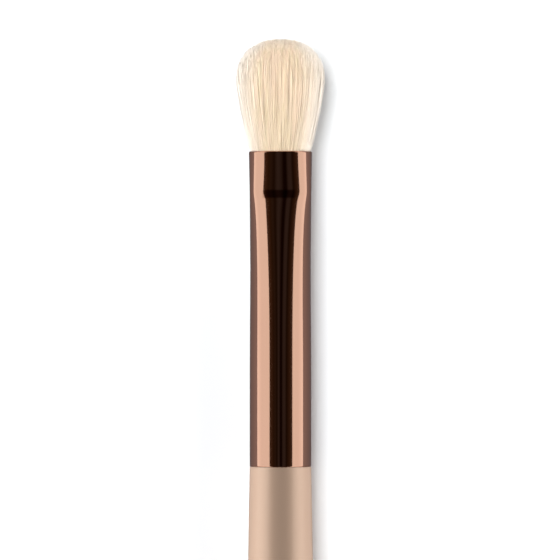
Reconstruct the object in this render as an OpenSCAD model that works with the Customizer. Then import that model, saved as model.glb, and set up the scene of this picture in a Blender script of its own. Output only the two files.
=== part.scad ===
// Eyeshadow brush, lying on its side with the wide face of its hair upwards. Millimetres.
// The brush's axis runs along Y, head towards +Y. Z = 0 is the surface that it lies on,
// and the origin is under the middle of its length.

/* [Hair] */
// Free length of the hair, from the ferrule's mouth to the crown
tuft_len = 14.6; // [11:0.1:18]
// Width of the tuft where it is widest
tuft_w = 11.3; // [9.5:0.1:13]
// Thickness of the tuft where it is thickest
tuft_t = 8.2; // [7.6:0.1:8.6]
// Height of the widest place above the mouth
belly_of_hair = 9.3; // [6:0.1:10]
// Number of locks of hair
locks = 330; // [300:1:400]
// Length of packed hair held inside the ferrule
held_hair = 12; // [11:0.1:13]

/* [Ferrule] */
// Length of the metal tube
ferrule_len = 41; // [38:0.5:52]
// Outside diameter of its round stretch, at the handle
ferrule_d = 8; // [7.4:0.1:8.4]
// Length of the round stretch
round_len = 12; // [12:0.5:16]
// Outside width at the waist
waist_w = 7.86; // [7.4:0.02:8]
// Distance of the waist from the mouth
waist_from_mouth = 15.4; // [12:0.2:17]
// Outside width at the mouth
mouth_w = 8.2; // [7.8:0.1:8.8]
// Outside thickness at the mouth
mouth_t = 6.8; // [6.2:0.1:7.2]
// Outside thickness at the crease, the thinnest place
crease_t = 5.54; // [5.2:0.02:5.9]
// Distance of the crease from the mouth
crease_from_mouth = 5.3; // [4.8:0.1:5.8]
// Thickness of the metal
wall = 0.3; // [0.2:0.05:0.4]

/* [Handle] */
// Length of the handle that shows behind the ferrule
handle_len = 114.4; // [90:0.5:140]
// Diameter of the wood where it meets the ferrule
shoulder_d = 8; // [7.4:0.1:8.4]
// Diameter of the belly
belly_d = 8.7; // [8.6:0.1:11]
// Distance of the belly from the ferrule
belly_from_ferrule = 30; // [20:1:40]
// Length of the belly's straight stretch
belly_len = 12; // [4:1:20]
// Diameter of the straight tail
tail_d = 5.2; // [4:0.1:6]
// Length of the straight tail, without its rounded tip
tail_len = 14; // [8:0.5:20]
// Length of the tail's rounded tip
tip_len = 2.2; // [1:0.1:3]
// Length of the tenon inside the ferrule
tenon_len = 11.5; // [9:0.5:12]

/* [Hidden] */

// Shapes of the ferrule's press marks
late_power = 11.5;      // how late the tube thins towards the crease
crease_r = 0.9;         // reach of the crease's rounding
gape_power = 1.32;      // how early it thickens again towards the mouth
flare_power = 1.6;      // how late it widens towards the mouth
pressed_power = 2.42;   // power of the pressed oval: 2 is an ellipse
lip_r = 0.26;           // rounding of the mouth's lip
end_r = 0.12;           // rounding of the edge at the handle
tube_lap = 0.5;         // how far the pressed stretch runs into the round one's wall
facet_room = 0.006;     // keeps flat facets inside a true round wall

// Fits inside the ferrule
glue_film = 0.1;        // adhesive between tenon and tube
fit_room = 0.02;        // clearance of what fills the tube
hair_recess = 0.3;      // the packed hair stops this far below the mouth
thread_d = 0.36;        // binding thread
thread_pitch = 0.82;    // from turn to turn
thread_turns = 3;
plug_len = 6.5;         // glue behind the packed hair
plug_dish = 1.6;        // depth of the hollow in the glue's free face
film_inset = 0.6;       // the adhesive stops this far inside each end of the joint
tenon_chamfer = 0.8;
shoulder_r = 0.35;      // rounding of the wood's edge at the ferrule

// Hair
lock_share = 0.036;     // radius of a lock, as a share of the tuft's radius
mouth_share = 1.045;    // outline of the outer locks over the circle of their centres
crown_power = 2.2;      // power of the crown's outline: 2 is an ellipse
lock_sink = 0.4;        // how far a lock runs into the packed hair
mouth_ring = 0.1;       // height of the second ring of a lock above the mouth
lock_height_shares = [0.42, 0.76];
lock_taper_shares = [0.85, 1, 1, 0.8];
golden_angle = 137.508;

// Fineness
around = 64;            // facets round the tube
around_hair = 24;
pressed_rings = 13;
pressed_ring_power = 1.8;
mouth_rings = 5;
mouth_ring_power = 1.6;
lip_steps = 4;
curve_steps = 24;
tip_steps = 8;
thread_sides = 6;
thread_rings = 24;      // per turn
$fn = 96;

// Places along the axis, measured from the ferrule's end at the handle
crease_s = ferrule_len - crease_from_mouth;
waist_s = ferrule_len - waist_from_mouth;
hair_top_s = ferrule_len - hair_recess;
hair_end_s = ferrule_len - held_hair;
plug_end_s = hair_end_s - plug_len;
thread_len = thread_pitch * thread_turns + thread_d;
thread_s = hair_end_s + 2 * thread_d;

round_r = ferrule_d / 2;
bore_r = round_r - wall;
tenon_r = bore_r - glue_film;
whole_len = handle_len + ferrule_len + tuft_len;
axis_z = max(belly_d, ferrule_d, mouth_t, tuft_t) / 2;
ferrule_y = handle_len - whole_len / 2;

// The ferrule's outside: half width, half thickness and power of its oval at a place s
function ease(t) = (1 - cos(180 * t)) / 2;
function share_of(s, low, high) = max(0, min(1, (s - low) / (high - low)));
function soft(d) = sqrt(d * d + crease_r * crease_r) - crease_r;
function pressed(s) = s > crease_s ? 1 : max(0, 1 - soft(crease_s - s) / soft(crease_s - round_len));
function opened(s) = s < crease_s ? 0 : soft(s - crease_s) / soft(ferrule_len - crease_s);
function half_w(s) = s <= waist_s
    ? round_r + (waist_w / 2 - round_r) * ease(share_of(s, round_len, waist_s))
    : waist_w / 2 + (mouth_w - waist_w) / 2 * pow(share_of(s, waist_s, ferrule_len), flare_power);
function half_t(s) = s <= crease_s
    ? round_r + (crease_t / 2 - round_r) * pow(pressed(s), late_power)
    : mouth_t / 2 + (crease_t - mouth_t) / 2 * pow(1 - opened(s), gape_power);
function power(s) = 2 + (pressed_power - 2) * pow(pressed(s), 2);

// A point of an oval with half axes a and b, at the angle q
function signed_pow(v, p) = sign(v) * pow(abs(v), p);
function oval_point(a, b, p, q, s) = [a * signed_pow(cos(q), 2 / p), s, b * signed_pow(sin(q), 2 / p)];

// A ring of the ferrule's oval, drawn in by "inside"
function ring(s, inside, count) = [
    for (k = [0 : count - 1])
        oval_point(half_w(s) - inside, half_t(s) - inside, power(s), 360 * k / count, s)
];

// A solid through rings with as many points each. "closed" joins the last ring to the first.
module loft(rings, closed = false) {
    n = len(rings[0]);
    m = len(rings);
    points = [for (r = rings) each r];
    sides = [
        for (i = [0 : m - (closed ? 1 : 2)], k = [0 : n - 1])
            let (a = i * n, b = ((i + 1) % m) * n, next = (k + 1) % n)
                each [[a + k, b + next, b + k], [a + k, a + next, b + next]]
    ];
    first = [for (k = [1 : n - 2]) [0, k + 1, k]];
    last = [for (k = [1 : n - 2]) [(m - 1) * n, (m - 1) * n + k, (m - 1) * n + k + 1]];
    polyhedron(points, closed ? sides : concat(sides, first, last));
}

// Turns a profile of [radius, place along the axis] round the brush's axis
module turned(profile) {
    rotate([-90, 0, 0]) rotate_extrude() polygon(profile);
}

module at_ferrule() {
    translate([0, ferrule_y, axis_z]) children();
}

// Places of the rings along the pressed stretch, closer together near the crease
pressed_places = [
    for (i = [1 : pressed_rings])
        round_len + (crease_s - round_len) * (1 - pow(1 - i / pressed_rings, pressed_ring_power))
];
mouth_places = [
    for (i = [1 : mouth_rings])
        crease_s + (ferrule_len - lip_r - crease_s) * pow(i / mouth_rings, mouth_ring_power)
];
tube_places = concat([round_len - tube_lap, round_len], pressed_places, mouth_places);

// Metal tube: a true round tube at the handle, then the stretch that the press flattens
module ferrule() {
    outer = [for (s = tube_places) ring(s, facet_room, around)];
    lip = [
        for (i = [1 : lip_steps])
            let (q = 90 * i / lip_steps)
                ring(ferrule_len - lip_r + lip_r * sin(q), facet_room + lip_r * (1 - cos(q)), around)
    ];
    // The facets of the inside stand clear of the true bore
    inner_room = wall - facet_room - bore_r * (1 / cos(180 / around) - 1);
    inner = [for (i = [len(tube_places) - 1 : -1 : 0]) ring(tube_places[i], inner_room, around)];
    color([0.42, 0.27, 0.2]) at_ferrule() {
        turned([
            [bore_r, 0], [round_r - end_r, 0],
            [round_r - end_r * (1 - sin(45)), end_r * (1 - cos(45))], [round_r, end_r],
            [round_r, round_len], [bore_r, round_len]
        ]);
        loft(concat(outer, lip, inner), closed = true);
    }
}

// Outline of the packed hair inside the tube, with its waist under the thread
thread_groove = thread_d + 2 * fit_room;
thread_end_s = thread_s + thread_len;
root_places = concat(
    [hair_end_s, thread_s - thread_d, thread_s, thread_end_s, thread_end_s + thread_d],
    [for (s = pressed_places) if (s > thread_end_s + 2 * thread_d) s],
    [for (s = mouth_places) if (s < hair_top_s) s],
    [hair_top_s]
);
function root_inset(s) = wall + 2 * fit_room + facet_room
    + (s >= thread_s && s <= thread_end_s ? thread_groove : 0);

// Half width and half thickness of the circle of outer locks, at a height above the mouth
facet_share = cos(180 / around_hair);
mouth_half_w = (half_w(hair_top_s) - root_inset(hair_top_s)) * facet_share / mouth_share;
mouth_half_t = (half_t(hair_top_s) - root_inset(hair_top_s)) * facet_share / mouth_share;
function spread(h) = let (t = share_of(h, 0, belly_of_hair)) (t + sin(90 * t)) / 2;
function hair_half_w(h) = mouth_half_w + (tuft_w / 2 - mouth_half_w) * spread(h);
function hair_half_t(h) = mouth_half_t + (tuft_t / 2 - mouth_half_t) * spread(h);

// A lock's place in the unit circle, and the height of its tip on the crown
function lock_radius(k) = sqrt((k + 0.5) / (locks - 0.5));
function lock_height(k) = belly_of_hair
    + (tuft_len - belly_of_hair) * pow(1 - pow(lock_radius(k), crown_power), 1 / crown_power);
function lock_centre(k) = lock_radius(k) * [cos(k * golden_angle), sin(k * golden_angle)];
function lock_point(k, h, share, q) =
    let (c = lock_centre(k) + lock_share * share * [cos(q), sin(q)])
        [c[0] * hair_half_w(h), ferrule_len + h, c[1] * hair_half_t(h)];
function lock_heights(k) = concat(
    [-hair_recess - lock_sink, mouth_ring],
    lock_height(k) * lock_height_shares
);
function lock_points(k) = let (heights = lock_heights(k)) [
    for (i = [0 : len(heights) - 1], j = [0 : 2])
        lock_point(k, heights[i], lock_taper_shares[i], k * golden_angle + 120 * j),
    lock_point(k, lock_height(k), 0, 0)
];
function lock_faces(base, rings) = [
    [base, base + 2, base + 1],
    for (i = [0 : rings - 2], j = [0 : 2])
        let (a = base + 3 * i, next = (j + 1) % 3)
            each [[a + j, a + 3 + next, a + 3 + j], [a + j, a + next, a + 3 + next]],
    for (j = [0 : 2]) [base + 3 * (rings - 1) + j, base + 3 * (rings - 1) + (j + 1) % 3, base + 3 * rings]
];

// Goat hair: a packed root in the tube, and locks that fan out to the domed crown
module hair_tuft() {
    rings = len(lock_heights(0));
    points_each = 3 * rings + 1;
    color([0.95, 0.87, 0.75]) at_ferrule() {
        loft([for (s = root_places) ring(s, root_inset(s), around_hair)]);
        polyhedron(
            [for (k = [0 : locks - 1]) each lock_points(k)],
            [for (k = [0 : locks - 1]) each lock_faces(k * points_each, rings)]
        );
    }
}

// Thread wound round the packed hair: one tube along a helix that follows the oval
thread_inset = wall + fit_room + facet_room + thread_d / 2;
thread_count = thread_turns * thread_rings;
function thread_point(i, inside) =
    let (s = thread_s + thread_d / 2 + (thread_len - thread_d) * i / thread_count)
        oval_point(half_w(s) - inside, half_t(s) - inside, power(s), 360 * i / thread_rings, s);
function thread_ring(i) =
    let (
        c = thread_point(i, thread_inset),
        out = thread_point(i, thread_inset - thread_d) - c,
        side = out / norm(out)
    ) [
        for (k = [0 : thread_sides - 1])
            let (q = -360 * k / thread_sides)
                c + thread_d / 2 * (cos(q) * side + sin(q) * [0, 1, 0])
    ];
thread_gap = min([
    for (i = [0 : thread_count - thread_rings])
        norm(thread_point(i + thread_rings, thread_inset) - thread_point(i, thread_inset)) - thread_d
]);

module binding_thread() {
    echo(least_gap_of_the_thread = thread_gap);
    color([0.9, 0.88, 0.82]) at_ferrule()
        loft([for (i = [0 : thread_count]) thread_ring(i)]);
}

// Set glue behind the packed hair, with the hollow that it sets with in its free face
module hair_glue_plug() {
    room = wall + 2 * fit_room + facet_room;
    dish_shares = [0.25, 0.5, 0.75];
    places = [plug_end_s, (plug_end_s + hair_end_s) / 2, hair_end_s - fit_room];
    dish = [
        for (share = dish_shares)
            let (rim = ring(plug_end_s, room, around_hair), deep = plug_dish * (1 - share * share))
                [for (p = rim) [p[0] * share, plug_end_s + deep, p[2] * share]]
    ];
    color([0.85, 0.75, 0.5]) at_ferrule()
        loft(concat(dish, [for (s = places) ring(s, room, around_hair)]));
}

// Adhesive film between the tenon and the tube
module handle_adhesive() {
    color([0.8, 0.72, 0.5]) at_ferrule()
        turned([
            [tenon_r, film_inset], [bore_r, film_inset],
            [bore_r, tenon_len - tenon_chamfer - film_inset],
            [tenon_r, tenon_len - tenon_chamfer - film_inset]
        ]);
}

// Turned wood: tenon, shoulder, belly, long taper, straight tail and rounded tip
tail_from_ferrule = handle_len - tip_len - tail_len;
taper_from_ferrule = belly_from_ferrule + belly_len;
function swell(t) = shoulder_d / 2 + (belly_d - shoulder_d) / 2 * sin(90 * t);
function taper(t) = tail_d / 2 + (belly_d - tail_d) / 2 * (1 + cos(180 * t)) / 2;

module handle() {
    color([0.62, 0.51, 0.44]) at_ferrule()
        turned([
            [0, tenon_len], [tenon_r - tenon_chamfer / 2, tenon_len], [tenon_r, tenon_len - tenon_chamfer],
            [tenon_r, 0],
            for (i = [0 : lip_steps])
                let (q = 90 * i / lip_steps)
                    [swell(0) - shoulder_r / 4 * (1 - sin(q)), -shoulder_r * (1 - cos(q))],
            for (i = [1 : curve_steps])
                let (t = i / curve_steps)
                    [swell(t), -shoulder_r - (belly_from_ferrule - shoulder_r) * t],
            for (i = [0 : curve_steps])
                let (t = i / curve_steps)
                    [taper(t), -taper_from_ferrule - (tail_from_ferrule - taper_from_ferrule) * t],
            [tail_d / 2, -tail_from_ferrule - tail_len],
            for (i = [1 : tip_steps])
                let (q = 90 * i / tip_steps)
                    [tail_d / 2 * cos(q), -tail_from_ferrule - tail_len - tip_len * sin(q)]
        ]);
}

hair_tuft();
binding_thread();
hair_glue_plug();
ferrule();
handle_adhesive();
handle();
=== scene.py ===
import math
import random

import bmesh
import bpy
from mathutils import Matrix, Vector


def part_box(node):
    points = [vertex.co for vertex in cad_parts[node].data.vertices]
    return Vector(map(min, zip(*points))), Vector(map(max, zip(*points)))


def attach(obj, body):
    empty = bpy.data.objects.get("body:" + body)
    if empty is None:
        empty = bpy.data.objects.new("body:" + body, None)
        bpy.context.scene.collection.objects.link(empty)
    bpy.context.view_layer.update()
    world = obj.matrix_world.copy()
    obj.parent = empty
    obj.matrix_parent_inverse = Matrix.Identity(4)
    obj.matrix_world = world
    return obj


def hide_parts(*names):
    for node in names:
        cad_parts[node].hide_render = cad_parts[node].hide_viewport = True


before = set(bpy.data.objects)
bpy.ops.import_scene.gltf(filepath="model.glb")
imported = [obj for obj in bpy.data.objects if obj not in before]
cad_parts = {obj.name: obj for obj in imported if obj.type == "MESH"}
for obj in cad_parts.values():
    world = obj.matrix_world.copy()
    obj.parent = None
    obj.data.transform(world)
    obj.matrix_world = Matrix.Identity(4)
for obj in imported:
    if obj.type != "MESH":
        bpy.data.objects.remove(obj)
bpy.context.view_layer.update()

# Handle: one piece of close-grained wood, turned on a lathe and sprayed with a satin taupe lacquer with fine
# pearl in it. It has a belly for the fingers, a long taper, and a straight tail with a round tip. A slimmer
# tenon goes into the ferrule, and the wood's shoulder stands against the ferrule's edge.
MM = 0.001
handle_low, handle_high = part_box("handle")
ferrule_low, ferrule_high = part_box("ferrule")
axis_z = (handle_low.z + handle_high.z) / 2
joint_y = ferrule_low.y
shoulder_r = 4.0 * MM
belly_r = handle_high.x
belly_from_joint = 30.0 * MM
belly_len = 12.0 * MM
tail_r = 2.6 * MM
tail_len = 14.0 * MM
tip_len = 2.2 * MM
tenon_r = 3.6 * MM
tenon_len = handle_high.y - joint_y
tenon_chamfer = 0.8 * MM
shoulder_round = 0.35 * MM
taper_start = joint_y - belly_from_joint - belly_len
tail_start = handle_low.y + tip_len + tail_len
weld_reach = 0.00001 * MM


def placed(name, data):
    """Puts a mesh, a line, a lamp or a camera into the scene as an object."""
    made = bpy.data.objects.new(name, data)
    bpy.context.scene.collection.objects.link(made)
    return made


def turned(name, profile, steps, reshape=None):
    """Turns a profile of (radius, distance from the joint) round the brush's axis."""
    shape = bmesh.new()
    points = [shape.verts.new((radius, place, 0)) for radius, place in profile]
    edges = [shape.edges.new(pair) for pair in zip(points, points[1:])]
    if profile[0][0] > 0:
        edges.append(shape.edges.new((points[-1], points[0])))
    bmesh.ops.spin(shape, geom=points + edges, axis=(0, 1, 0), cent=(0, 0, 0), dvec=(0, 0, 0),
                   angle=math.tau, steps=steps, use_merge=True, use_duplicate=False)
    bmesh.ops.remove_doubles(shape, verts=shape.verts, dist=weld_reach)
    if reshape:
        for vert in shape.verts:
            vert.co = reshape(vert.co)
    bmesh.ops.recalc_face_normals(shape, faces=shape.faces)
    bmesh.ops.translate(shape, verts=shape.verts, vec=(0, joint_y, axis_z))
    mesh = bpy.data.meshes.new(name)
    shape.to_mesh(mesh)
    shape.free()
    mesh.shade_smooth()
    return placed(name, mesh)


def even(first, last, steps):
    """Values from first to last, both included, the same step apart."""
    return [first + (last - first) * i / steps for i in range(steps + 1)]


def quarter(steps):
    """Angles over a quarter turn, both ends included."""
    return even(0, math.pi / 2, steps)


class Value:
    """A shader value that can be written into a sum."""

    def __init__(self, tree, socket=None):
        self.tree = tree
        self.socket = socket

    def node(self, kind, settings, values, out=0):
        made = self.tree.nodes.new("ShaderNode" + kind)
        for name, setting in settings.items():
            if name == "stops":
                for place, colour in setting[2:]:
                    made.color_ramp.elements.new(place)
                for element, (place, colour) in zip(made.color_ramp.elements, setting):
                    element.position = place
                    element.color = (*colour, 1)
            else:
                setattr(made, name, setting)
        for name, value in values.items():
            if isinstance(value, Value):
                self.tree.links.new(value.socket, made.inputs[name])
            else:
                made.inputs[name].default_value = value
        return Value(self.tree, made.outputs[out])

    def math(self, operation, *values):
        return self.node("Math", {"operation": operation}, dict(enumerate(values)))

    def __add__(self, other):
        return self.math("ADD", self, other)

    def __mul__(self, other):
        return self.math("MULTIPLY", self, other)

    def __sub__(self, other):
        return self.math("SUBTRACT", self, other)

    def __rsub__(self, other):
        return self.math("SUBTRACT", other, self)

    def __abs__(self):
        return self.math("ABSOLUTE", self)

    __radd__ = __add__
    __rmul__ = __mul__

    def noise(self, stretch, detail=3):
        """Noise in -0.5 to 0.5 on this place, with so many cells to a metre along X, Y and Z."""
        place = self.node("Mapping", {}, {"Vector": self, "Scale": stretch})
        cloud = self.node("TexNoise", {}, {"Vector": place, "Scale": 1, "Detail": detail})
        return cloud - 0.5

    def part(self, axis):
        """This place's distance along X, Y or Z, for an axis of 0, 1 or 2."""
        return self.node("SeparateXYZ", {}, {0: self}, axis)

    def fade(self, start, end, most=1.0, change="SMOOTHSTEP"):
        """Nothing where this value is at start, and the most where it is at end."""
        values = {0: self, 1: start, 2: end, 3: 0.0, 4: most}
        return self.node("MapRange", {"interpolation_type": change}, values)

    def tint(self, low, high):
        """The colour between low and high that this value gives."""
        return self.node("Mix", {"data_type": "RGBA"}, {0: self, 6: (*low, 1), 7: (*high, 1)}, 2)

    def under(self, colour, share):
        """This colour with another one laid over it by a share."""
        if not isinstance(colour, Value):
            colour = (*colour, 1)
        return self.node("Mix", {"data_type": "RGBA"}, {0: share, 6: self, 7: colour}, 2)

    def bump(self, height):
        """The normal of a surface that this value raises by so many metres."""
        return self.node("Bump", {}, {"Height": self, "Distance": height})


def new_finish(name, **fixed):
    """A finish with its shader's fixed values set, and the place on the piece as a value."""
    finish = bpy.data.materials.new(name)
    finish.use_nodes = True
    shader = finish.node_tree.nodes["Principled BSDF"]
    for socket, value in fixed.items():
        shader.inputs[socket.replace("_", " ")].default_value = value
    return finish, Value(finish.node_tree).node("TexCoord", {}, {}, "Object")


def vary(finish, **varied):
    """Ties shader sockets of a finish to values that change over the surface."""
    shader = finish.node_tree.nodes["Principled BSDF"]
    for socket, value in varied.items():
        finish.node_tree.links.new(value.socket, shader.inputs[socket.replace("_", " ")])


def belly_curve(share):
    return shoulder_r + (belly_r - shoulder_r) * math.sin(math.pi / 2 * share)


def taper_curve(share):
    return tail_r + (belly_r - tail_r) * (1 + math.cos(math.pi * share)) / 2


handle_profile = [(0, tenon_len), (tenon_r - tenon_chamfer / 2, tenon_len),
                  (tenon_r, tenon_len - tenon_chamfer), (tenon_r, 0)]
handle_profile += [
    (shoulder_r - shoulder_round / 4 * (1 - math.sin(turn)), -shoulder_round * (1 - math.cos(turn)))
    for turn in quarter(8)
]
handle_profile += [
    (belly_curve(share), -shoulder_round - (belly_from_joint - shoulder_round) * share)
    for share in even(0, 1, 40)[1:]
]
handle_profile += [
    (taper_curve(share), taper_start - joint_y - (taper_start - tail_start) * share)
    for share in even(0, 1, 60)
]
handle_profile += [
    (tail_r * math.cos(turn), tail_start - tail_len - joint_y - tip_len * math.sin(turn))
    for turn in quarter(16)[:-1]
]
handle_profile.append((0, handle_low.y - joint_y))
handle = turned("lacquered_handle", handle_profile, 128)

lacquer_relief = 0.004 * MM
dark_taupe, light_taupe = (0.45, 0.32, 0.235), (0.495, 0.35, 0.26)
lacquer, place = new_finish("satin_taupe_lacquer", IOR=1.5, Coat_Weight=0.6, Coat_Roughness=0.2)
cloud = place.noise((60, 25, 60))
grain = place.noise((1500, 60, 1500), 4)
peel = place.noise((900, 900, 900), 2)
pearl = place.noise((9000, 9000, 9000), 1)
depth = cloud * 0.5 + grain * 0.25 + pearl * 0.3 + 0.5
vary(lacquer,
     Base_Color=depth.tint(dark_taupe, light_taupe),
     Metallic=cloud * 0.1 + 0.56,
     Roughness=peel * 0.06 + cloud * 0.05 + 0.45,
     Normal=(peel * 0.7 + grain * 0.6 + pearl * 0.2).bump(lacquer_relief))
handle.data.materials.append(lacquer)
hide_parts("handle")
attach(handle, "root")

# Handle adhesive: a thin film of set glue between the tenon and the ferrule, poured in before the two are
# pushed together. Nothing of it shows.
glue_relief = 0.02 * MM
dark_glue, light_glue = (0.66, 0.56, 0.38), (0.78, 0.7, 0.52)


def dress(node, finish):
    """Gives a CAD node a finish in place of its own."""
    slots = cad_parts[node].data.materials
    slots.clear()
    slots.append(finish)


glue, place = new_finish("set_handle_glue", Roughness=0.55)
cloud = place.noise((900, 900, 900))
vary(glue,
     Base_Color=(cloud + 0.5).tint(dark_glue, light_glue),
     Normal=cloud.bump(glue_relief))
dress("handle_adhesive", glue)

# Ferrule: a seamless metal tube, drawn thin, plated in a pinkish bronze and polished like a mirror. It is
# round where the handle goes in. A press has flattened it towards the mouth and left a crease a little way
# behind it, and the mouth's edge is rolled smooth.
wall = 0.3 * MM
ferrule_len = ferrule_high.y - ferrule_low.y
round_len = 12.0 * MM
round_r = 4.0 * MM
waist_from_mouth = 15.4 * MM
waist_half_w = 3.93 * MM
mouth_half_w = 4.1 * MM
mouth_half_t = 3.4 * MM
crease_half_t = 2.77 * MM
crease_reach = 0.9 * MM
lip_r = 0.26 * MM
end_r = 0.12 * MM
pressed_power = 2.42
late_power = 11.5
gape_power = 1.32
flare_power = 1.6
crease_from_mouth = 5.3 * MM
crease_place = ferrule_len - crease_from_mouth
waist_place = ferrule_len - waist_from_mouth


def share_of(place, low, high):
    return max(0.0, min(1.0, (place - low) / (high - low)))


def ease(share):
    return (1 - math.cos(math.pi * share)) / 2


def half_width(place):
    if place <= waist_place:
        return round_r + (waist_half_w - round_r) * ease(share_of(place, round_len, waist_place))
    flare = share_of(place, waist_place, ferrule_len) ** flare_power
    return waist_half_w + (mouth_half_w - waist_half_w) * flare


def soft(off):
    """A distance from the crease, rounded off close to it."""
    return math.hypot(off, crease_reach) - crease_reach


def pressed_share(place):
    if place >= crease_place:
        return 1.0
    return max(0.0, 1 - soft(crease_place - place) / soft(crease_place - round_len))


def half_thickness(place):
    """Thins ever faster to the crease and gapes again to the mouth."""
    if place <= crease_place:
        return round_r + (crease_half_t - round_r) * pressed_share(place) ** late_power
    closed = 1 - soft(place - crease_place) / soft(ferrule_len - crease_place)
    return mouth_half_t + (crease_half_t - mouth_half_t) * max(0.0, closed) ** gape_power


def pressed(point, inside=0):
    """Moves a point of the round tube to its place on the pressed one."""
    turn = math.atan2(point.z, point.x)
    depth = round_r - math.hypot(point.x, point.z) + inside
    power = 2 / (2 + (pressed_power - 2) * pressed_share(point.y) ** 2)
    across = math.copysign(abs(math.cos(turn)) ** power, math.cos(turn))
    up = math.copysign(abs(math.sin(turn)) ** power, math.sin(turn))
    half_w = half_width(point.y) - depth
    half_t = half_thickness(point.y) - depth
    return Vector((half_w * across, point.y, half_t * up))


near_crease = 5 * MM
near_place = crease_place - near_crease
tube_places = even(end_r, round_len, 10)[:-1] + even(round_len, near_place, 40)[:-1]
tube_places += even(near_place, crease_place, 40)[:-1] + even(crease_place, ferrule_len - lip_r, 36)
ferrule_profile = [(round_r - wall, 0)]
ferrule_profile += [
    (round_r - end_r * (1 - math.sin(turn)), end_r * (1 - math.cos(turn)))
    for turn in quarter(5)[:-1]
]
ferrule_profile += [(round_r, place) for place in tube_places]
ferrule_profile += [
    (round_r - lip_r * (1 - math.cos(turn)), ferrule_len - lip_r * (1 - math.sin(turn)))
    for turn in quarter(8)[1:]
]
ferrule_profile += [(round_r - wall, place) for place in reversed(tube_places[::2])]
ferrule = turned("bronze_ferrule", ferrule_profile, 160, pressed)

# Painted shade: the crease values lay a dark brown band into the bronze's colour, across the flat face just
# behind the crease.
crease_line_back = 0.27 * MM
crease_line_y = joint_y + crease_place - crease_line_back
crease_line_core, crease_line_rim = 0.35 * MM, 0.7 * MM
crease_face_core, crease_face_rim = 1.6 * MM, 2.4 * MM
bronze_relief = 0.0006 * MM
dark_bronze, light_bronze = (0.6, 0.365, 0.262), (0.64, 0.395, 0.288)
crease_painted_shade = (0.2, 0.08, 0.05)
bronze, place = new_finish("polished_pinkish_bronze", Metallic=1.0)
smudge = place.noise((220, 90, 220))
drawn = place.noise((9000, 60, 9000), 2)
crease_shade_band = abs(place.part(1) - crease_line_y).fade(crease_line_rim, crease_line_core)
face_shade_band = abs(place.part(0)).fade(crease_face_rim, crease_face_core)
polished = (smudge + 0.5).tint(dark_bronze, light_bronze)
vary(bronze,
     Base_Color=polished.under(crease_painted_shade, crease_shade_band * face_shade_band),
     Roughness=smudge * 0.05 + drawn * 0.03 + 0.085,
     Normal=(drawn * 0.6 + smudge).bump(bronze_relief))
ferrule.data.materials.append(bronze)
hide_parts("ferrule")
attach(ferrule, "root")

# Binding thread: a few turns of twisted polyester thread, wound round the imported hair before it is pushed
# into the ferrule. It is hidden in there.
thread_relief = 0.03 * MM
dark_thread, light_thread = (0.72, 0.69, 0.62), (0.9, 0.88, 0.82)
thread, place = new_finish("twisted_thread", Roughness=0.7)
ply = place.noise((2500, 9000, 2500), 2)
vary(thread,
     Base_Color=(ply + 0.5).tint(dark_thread, light_thread),
     Normal=ply.bump(thread_relief))
dress("binding_thread", thread)

# Hair glue plug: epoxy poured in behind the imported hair, where it soaks between the hairs and sets clear
# amber. It is hidden in the ferrule too.
epoxy_relief = 0.02 * MM
dark_amber, light_amber = (0.62, 0.46, 0.22), (0.8, 0.66, 0.4)
epoxy, place = new_finish("set_epoxy", Roughness=0.2)
cloud = place.noise((1200, 600, 1200))
vary(epoxy,
     Base_Color=(cloud + 0.5).tint(dark_amber, light_amber),
     Normal=cloud.bump(epoxy_relief))
dress("hair_glue_plug", epoxy)

# Hair tuft: several thousand undyed goat hairs, straight and fine, packed into the mouth of the ferrule and
# set by hand in a cup, which gives the tuft its dome. The hairs spread above the mouth, gather in thin
# locks, and end in their own soft tips, because they are never cut.
root_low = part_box("hair_tuft")[0].y - joint_y
tuft_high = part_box("hair_tuft")[1].y
mouth_y = joint_y + ferrule_len
tuft_len = tuft_high - mouth_y
belly_height = 9.3 * MM
tuft_half_w = 5.74 * MM
tuft_half_t = 4.1 * MM
gap = 0.05 * MM
root_set_back = 0.35 * MM
crown_power = 2.4
crown_rim_share = 1.01
crown_apex_share = 0.002
bulge = 0.27 * MM
bulge_rise = 0.3 * MM
bulge_fall = 3 * MM
fallen = random.Random(11)

root_places = even(root_low, ferrule_len - root_set_back, 24)
root_profile = [(0, root_low)] + [(round_r, place) for place in root_places] + [(0, root_places[-1])]
root = turned("packed_hair_root", root_profile, 64, lambda point: pressed(point, wall + gap))


def half_axes(height):
    """Half the width and half the thickness of the tuft at a height above the mouth."""
    low_w = mouth_half_w - wall - gap
    low_t = mouth_half_t - wall - gap
    share = share_of(height, 0, belly_height)
    spread = (share + math.sin(math.pi / 2 * share)) / 2
    above = max(0.0, height)
    fluff = bulge * (1 - math.exp(-above / bulge_rise)) * math.exp(-above / bulge_fall)
    return (low_w + (tuft_half_w - low_w) * spread + fluff,
            low_t + (tuft_half_t - low_t) * spread + fluff)


def crown(radius):
    """Height of the crown over a place in the unit circle."""
    inner = 1 - min(1.0, radius) ** crown_power
    return belly_height + (tuft_len - belly_height) * inner ** (1 / crown_power)


def crown_radius(height):
    """How far out the crown reaches at a height, as a share of the belly."""
    inner = 1 - share_of(height, belly_height, tuft_len) ** crown_power
    return crown_rim_share * max(crown_apex_share, inner) ** (1 / crown_power)


def sunflower(i, count):
    """The i-th of so many places spread evenly over the unit circle."""
    radius = math.sqrt((i + 0.5) / count)
    turn = i * math.pi * (3 - math.sqrt(5))
    return Vector((radius * math.cos(turn), radius * math.sin(turn)))


def scatter(share):
    """A small step to any side, as a share of the unit circle's radius."""
    return Vector((fallen.gauss(0, share), fallen.gauss(0, share)))


lock_count = 420
lock_scatter_share = 0.02
lock_lean_share = 0.01
most_pull = 0.09
lock_centres = [sunflower(i, lock_count) + scatter(lock_scatter_share) for i in range(lock_count)]
lock_leans = [scatter(lock_lean_share) for _ in lock_centres]
lock_pulls = [fallen.uniform(0.0, most_pull) for _ in lock_centres]

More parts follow.
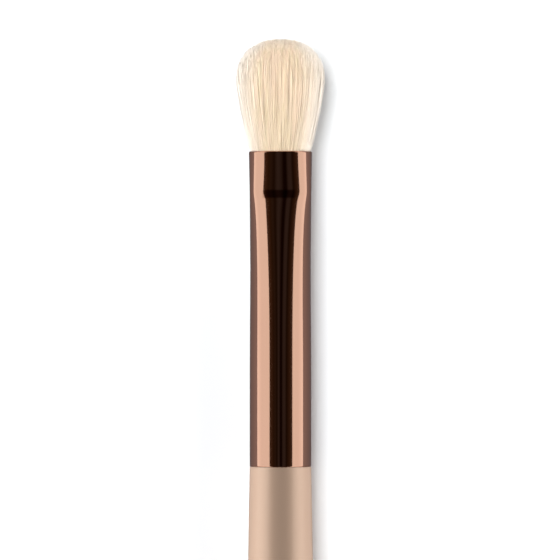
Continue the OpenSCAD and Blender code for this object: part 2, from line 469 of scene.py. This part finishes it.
hair_count = 9600
hairs_a_piece = 1920
rings = 12
hair_r = 0.034 * MM
tip_share = 0.3
taper_power = 6
stray_share = 0.04
scatter_share = 0.006
lean_share = 0.012
stray_lean = 2.5
stray_pull = 0.3
pull_shares = (0.6, 1.1)
rim_share = 0.015
settled_share = 0.035
hidden_len = 0.5 * MM
gather_len = 6 * MM
face_reach = 3 * MM
middle_share = 0.7
tip_clearance = 0.01 * MM
highest_y = tuft_high - tip_clearance


def hair_points(i):
    """Points along a hair, each with the hair's radius there and how far out to the side it lies."""
    root_spot = sunflower(i, hair_count) + scatter(scatter_share)
    root_spot *= 1 - rim_share + 2 * rim_share * fallen.random() ** 2
    lock = min(range(lock_count), key=lambda k: (lock_centres[k] - root_spot).length_squared)
    stray = fallen.random() < stray_share
    pull = lock_pulls[lock] * (stray_pull if stray else fallen.uniform(*pull_shares))
    lean = lock_leans[lock] + scatter(lean_share) * (stray_lean if stray else 1)
    bend = scatter(lean_share)
    settled = 1 - abs(fallen.gauss(0, settled_share))
    over = fallen.random() * face_reach * root_spot.y ** 2
    reach = min(tuft_len, crown(root_spot.length) + over) * settled
    points = []
    for step in range(rings):
        share = ease(step / (rings - 1))
        height = -hidden_len + (reach + hidden_len) * share
        held = share_of(height, 0, gather_len)
        spot = root_spot.lerp(lock_centres[lock], pull * held)
        spot += lean * held + bend * math.sin(math.pi * share)
        widest = crown_radius(height / settled)
        if spot.length > widest:
            spot.x = max(-widest, min(widest, spot.x))
            spot.y = math.copysign(math.sqrt(max(0.0, widest ** 2 - spot.x ** 2)), spot.y)
        half_w, half_t = half_axes(height)
        place = Vector((spot.x * half_w, min(mouth_y + height, highest_y), axis_z + spot.y * half_t))
        tapered = hair_r * (1 - (1 - tip_share) * share ** taper_power)
        aside = min(1.0, abs(spot.x) / max(widest, middle_share))
        points.append((place, tapered, aside))
    return points


def hair_piece(name, hairs):
    """Makes hairs into fine tapered tubes, and gives each a tone and each point its place to the side."""
    line = bpy.data.curves.new(name, "CURVE")
    line.dimensions = "3D"
    line.bevel_depth = 1
    line.bevel_resolution = 0
    for points in hairs:
        spline = line.splines.new("POLY")
        spline.points.add(len(points) - 1)
        for made, (spot, radius, _) in zip(spline.points, points):
            made.co = (*spot, 1)
            made.radius = radius
        spline.use_smooth = True
    drawn_line = placed(name, line)
    seen = drawn_line.evaluated_get(bpy.context.evaluated_depsgraph_get())
    mesh = bpy.data.meshes.new_from_object(seen)
    bpy.data.objects.remove(drawn_line)
    mesh.name = name
    closed = bmesh.new()
    closed.from_mesh(mesh)
    bmesh.ops.holes_fill(closed, edges=closed.edges, sides=4)
    closed.to_mesh(mesh)
    closed.free()
    around = len(mesh.vertices) // (len(hairs) * rings)
    tones, sides = [], []
    for points in hairs:
        tones += [fallen.random()] * rings * around
        for _, _, aside in points:
            sides += [aside] * around
    for attribute, values in (("tone", tones), ("side", sides)):
        mesh.attributes.new(attribute, "FLOAT", "POINT").data.foreach_set("value", values)
    return placed(name, mesh)


all_hairs = [hair_points(i) for i in range(hair_count)]
piece_count = hair_count // hairs_a_piece
tuft = [hair_piece(f"goat_hair_{n + 1}", all_hairs[n::piece_count]) for n in range(piece_count)]

shade_top = 9 * MM
shoulder_start, shoulder_end = 10 * MM, 14 * MM
tip_start, tip_end = 12.8 * MM, 14.2 * MM
dark_straw, light_straw = (0.73, 0.61, 0.415), (0.85, 0.755, 0.575)
dark_rose, light_rose = (0.77, 0.59, 0.45), (0.88, 0.735, 0.6)
parting_shade_brown = (0.6, 0.49, 0.28)
side_painted_light = (0.85, 0.79, 0.715)
rim_painted_shade = (0.6, 0.58, 0.56)
low_painted_shade = (0.56, 0.47, 0.34)
crown_painted_light = (0.92, 0.87, 0.8)
goat_hair, place = new_finish("cream_goat_hair", IOR=1.5, Specular_IOR_Level=0.3)
tone = place.node("Attribute", {"attribute_name": "tone"}, {}, "Fac")
side = place.node("Attribute", {"attribute_name": "side"}, {}, "Fac")
above_mouth = place.part(1) - mouth_y
streak = place.noise((900, 180, 900))
fine_streak = place.noise((3500, 450, 3500), 2)
warmth = place.noise((1600, 130, 1600), 2)
# Painted shade: thin dark brown partings between the locks.
parting_shade = place.noise((2600, 260, 2600), 2).fade(0.12, 0.24, 0.45)
# Painted light: the hair turns paler towards the tuft's sides.
side_light_share = side.fade(0.33, 1.1)
# Painted shade: a thin grey edge at the far sides.
rim_shade_share = side.fade(0.94, 1.0, 0.5)
# Painted shade: the hair darkens towards the mouth, less at the sides.
low = above_mouth.fade(shade_top, 0.0, 0.45, "LINEAR")
# Painted light: the hair lightens up towards the crown, at its sides first and then all over near the top.
shoulder_painted_light = above_mouth.fade(shoulder_start, shoulder_end, 0.6, "LINEAR")
tip_painted_light = above_mouth.fade(tip_start, tip_end, 0.4, "LINEAR")
depth = tone * 0.2 + streak * 0.75 + fine_streak * 0.7 + 0.4
straw = depth.tint(dark_straw, light_straw)
rose = depth.tint(dark_rose, light_rose)
cream = straw.under(rose, warmth * 2.2 + 0.5).under(parting_shade_brown, parting_shade)
cream = cream.under(side_painted_light, side_light_share).under(rim_painted_shade, rim_shade_share)
cream = cream.under(low_painted_shade, low * (1 - side_light_share)).under(crown_painted_light, shoulder_painted_light * side_light_share + tip_painted_light)
vary(goat_hair, Base_Color=cream, Roughness=tone * 0.1 + 0.45)
for piece in [root] + tuft:
    piece.data.materials.append(goat_hair)
    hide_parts("hair_tuft")
    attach(piece, "root")

# Table: a plain white sheet of matt paper, that the brush lies on. The ferrule doesn't mirror it, since the
# surroundings below stand for what a table shows there.
sheet_half = 2000 * MM
dark_white, light_white = (0.655, 0.674, 0.69), (0.665, 0.684, 0.7)
sheet_shape = bmesh.new()
bmesh.ops.create_grid(sheet_shape, x_segments=2, y_segments=2, size=sheet_half)
sheet_mesh = bpy.data.meshes.new("white_table")
sheet_shape.to_mesh(sheet_mesh)
sheet_shape.free()
table = placed("white_table", sheet_mesh)
table.visible_glossy = False
paper, place = new_finish("white_paper", Roughness=0.9, Specular_IOR_Level=0.0)
cloud = place.noise((40, 40, 40))
vary(paper, Base_Color=(cloud + 0.5).tint(dark_white, light_white))
sheet_mesh.materials.append(paper)

# Light: a long upright softbox on each side, whose reflections are the ferrule's bright bands, with fills in
# the same places and a softer key high on the left. The handle has low lights instead of the key and fills.
# The brush has rolled a little, so the camera and the side lights lean that much the other way.
roll = math.radians(3)
middle_y = 40 * MM
softbox_len = 3300 * MM
softbox_off = 750 * MM
key_width, key_len = 210 * MM, 460 * MM
key_radiance = 10.2
key_x, key_y, key_z = -90 * MM, 190 * MM, 420 * MM


def leaned(across, up):
    """A place in the picture's plane, turned round the brush's axis by the roll."""
    above = up - axis_z
    return Vector((across * math.cos(roll) + above * math.sin(roll), middle_y,
                   axis_z + above * math.cos(roll) - across * math.sin(roll)))


on_handle = bpy.data.collections.new("on_handle")
on_handle.objects.link(handle)
off_handle = bpy.data.collections.new("off_handle")
off_handle.objects.link(handle)
off_handle.collection_objects[0].light_linking.link_state = "EXCLUDE"


def soft_light(name, spot, target, width, length, radiance, in_reflections, falls):
    """An even rectangle of light, which falls on everything or as a collection says."""
    lamp = bpy.data.lights.new(name, "AREA")
    lamp.shape = "RECTANGLE"
    lamp.size = width
    lamp.size_y = length
    lamp.energy = radiance * math.pi * width * length
    made = placed(name, lamp)
    made.location = spot
    towards = target - spot
    made.rotation_euler = (0, math.atan2(-towards.x, -towards.z), 0)
    made.visible_glossy = in_reflections
    made.visible_camera = False
    made.light_linking.receiver_collection = falls


for name, off, foot, top, radiance, in_reflections, falls in (
        ("softbox_left", -softbox_off, -96 * MM, 850 * MM, 1.1, True, None),
        ("softbox_right", softbox_off, -42 * MM, 745 * MM, 1.06, True, None),
        ("fill_left", -softbox_off, -96 * MM, 891 * MM, 0.5, False, off_handle),
        ("fill_right", softbox_off, -42 * MM, 765 * MM, 3.6, False, off_handle),
        ("low_left", -softbox_off, 6 * MM, 381 * MM, 11.5, False, on_handle),
        ("low_right", softbox_off, 6 * MM, 381 * MM, 11, False, on_handle)):
    middle = (foot + top) / 2
    soft_light(name, leaned(off, middle), leaned(0, middle), top - foot, softbox_len, radiance,
               in_reflections, falls)
soft_light("key", Vector((key_x, key_y, key_z)), Vector((0, key_y, 0)), key_width, key_len, key_radiance,
           False, off_handle)

# Surroundings: a dim studio. Overhead it is nearly dark, with faint strips along the brush, which the
# ferrule's dark middle mirrors. Below, it is a brown grey that darkens downwards.
grey_below, brown_below = (0.33, 0.28, 0.29), (0.15, 0.128, 0.135)
world = bpy.data.worlds.new("studio")
bpy.context.scene.world = world
world.use_nodes = True
direction = Value(world.node_tree).node("TexCoord", {}, {}, "Generated")
height = direction.part(2)
across = direction.part(0)
angle = across.math("ARCTAN2", across, height) - roll
strips = [(-36, (0.06, 0.031, 0.018)), (-26, (0.026, 0.0115, 0.004)), (-20, (0.029, 0.017, 0.011)),
          (-13, (0.014, 0.006, 0.0015)), (-7, (0.042, 0.032, 0.029)), (-1, (0.008, 0.002, 0.0005)),
          (4, (0.007, 0.002, 0.0005)), (9, (0.036, 0.026, 0.023)), (16, (0.038, 0.028, 0.024)),
          (22, (0.014, 0.006, 0.002)), (36, (0.044, 0.022, 0.011)), (48, (0.09, 0.06, 0.04))]
stops = [(0.5 + degrees / 180, colour) for degrees, colour in strips]
overhead = angle.node("ValToRGB", {"stops": stops}, {0: angle * (1 / math.pi) + 0.5})
below = height.fade(-0.3, -1.0, 1.0, "LINEAR").tint(grey_below, brown_below)
sky = below.under(overhead, height.fade(-0.1, 0.3, 1.0, "LINEAR"))
world.node_tree.links.new(sky.socket, world.node_tree.nodes["Background"].inputs["Color"])

# Camera: straight above the brush, apart from its lean, and far away behind a long lens. The handle runs
# out of the bottom of the picture.
pixel = 0.13 * MM
frame_pixels = 560
axis_pixel = 280.5
mouth_pixel = 151.2
lens = 500
sensor = 36
nearest_seen = 10 * MM
camera_data = bpy.data.cameras.new("camera")
camera_data.lens = lens
camera_data.sensor_width = sensor
camera_data.clip_start = nearest_seen
camera = placed("camera", camera_data)
camera_height = frame_pixels * pixel * lens / sensor
camera.location = leaned((frame_pixels / 2 - axis_pixel) * pixel, axis_z + camera_height)
camera.location.y = ferrule_high.y + (mouth_pixel - frame_pixels / 2) * pixel
camera.rotation_euler = (0, roll, 0)
bpy.context.scene.camera = camera
bpy.context.scene.view_settings.view_transform = "Standard"
